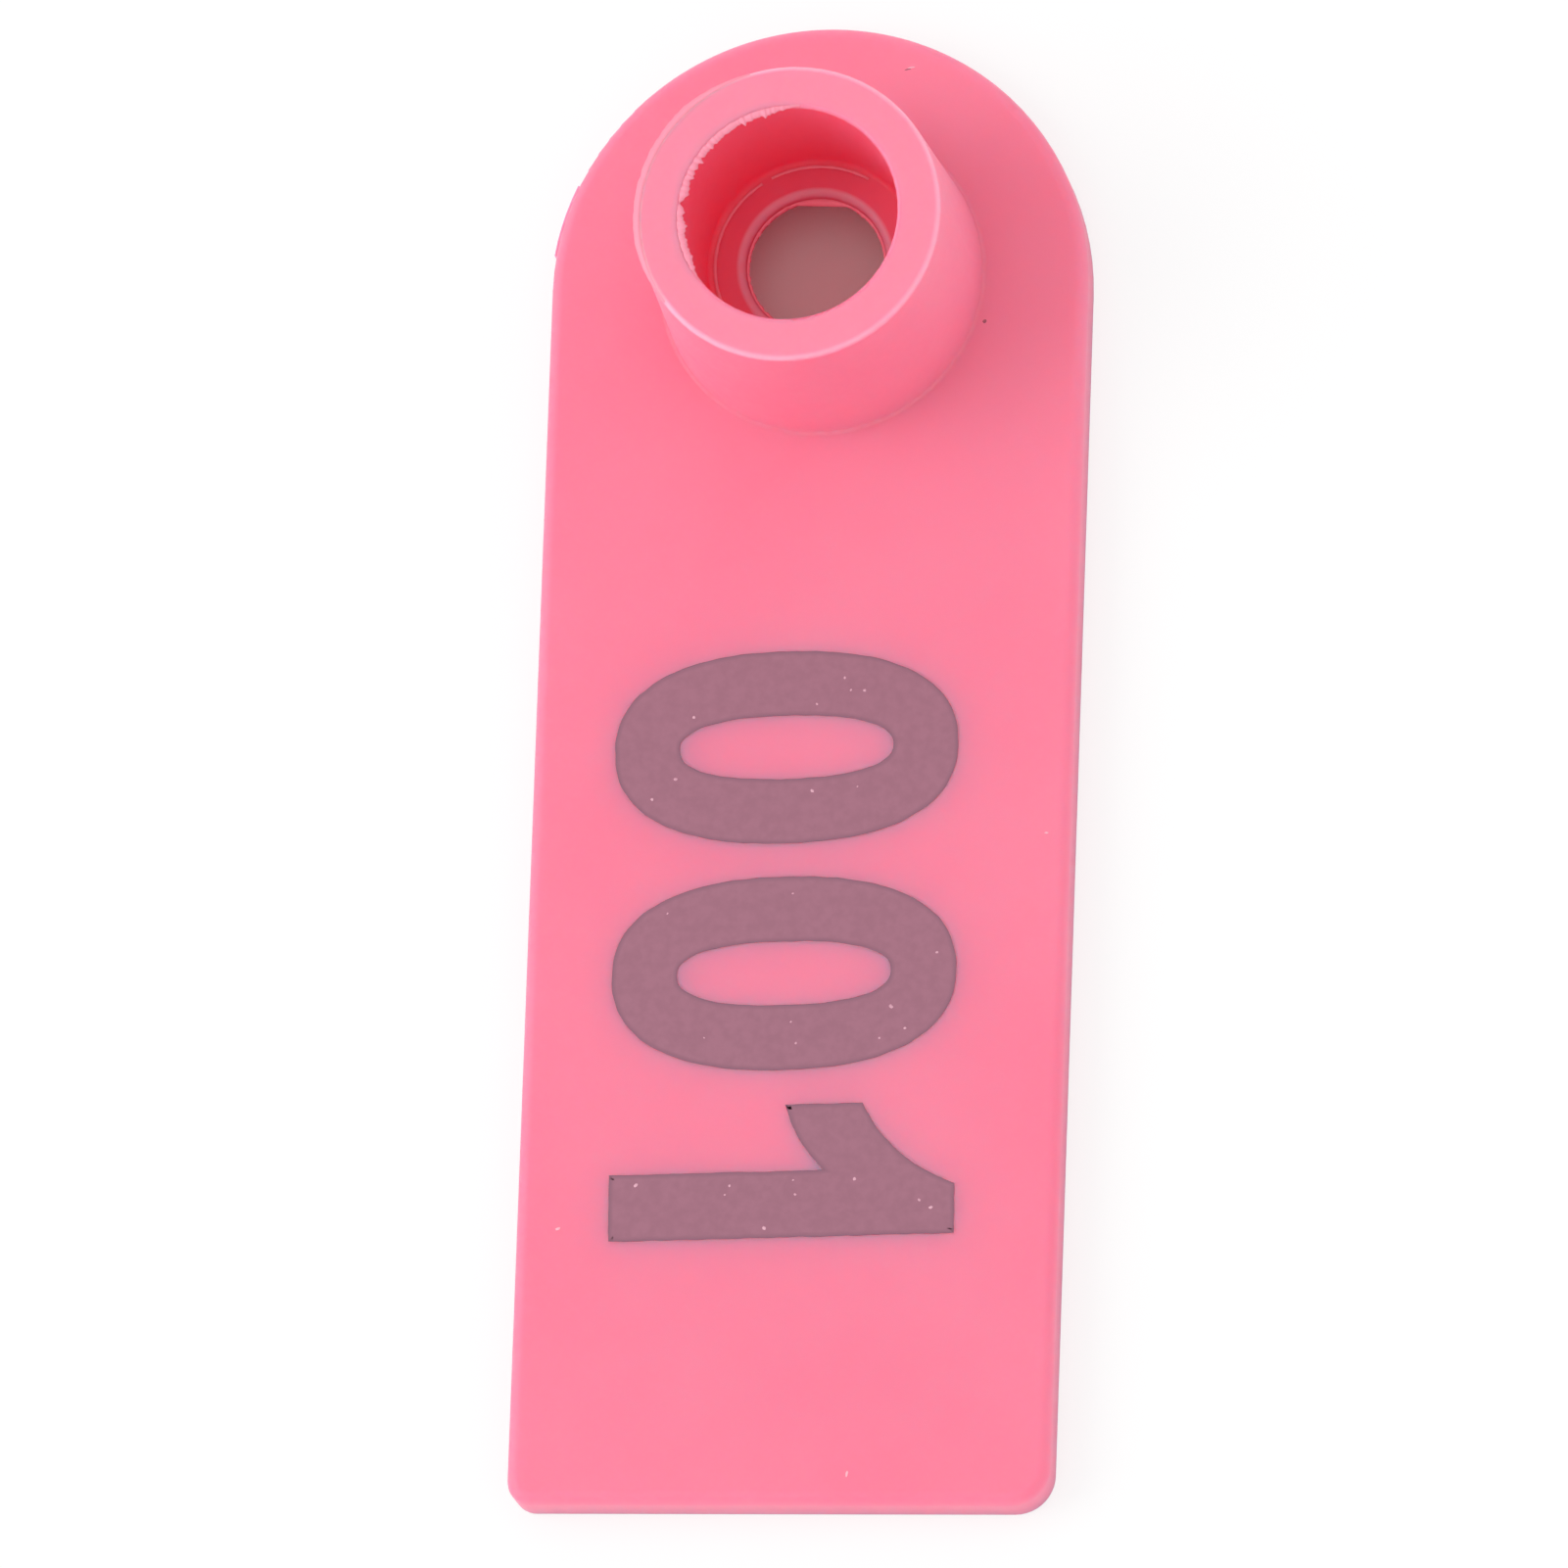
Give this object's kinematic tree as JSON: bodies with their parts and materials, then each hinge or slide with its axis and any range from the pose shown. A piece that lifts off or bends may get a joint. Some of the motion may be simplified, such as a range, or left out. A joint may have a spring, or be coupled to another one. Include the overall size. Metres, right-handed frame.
{
  "type": "livestock ear tag",
  "caption": "Socket half of a small livestock ear tag: a flat flexible plate with a round end and a hollow stepped boss that takes the locking pin of the other half.",
  "frame": {"origin": "axis of the boss, at the plate's flat back", "axes": "+Z out of the back along the boss axis towards its open mouth, +Y along the plate towards its round end"},
  "size_m": [0.0182, 0.0507, 0.0091],
  "materials": {
    "soft_plastic": "satin pink soft plastic, slightly translucent"
  },
  "bodies": {
    "root": {"tag_body": "soft_plastic"}
  },
  "joints": []
}
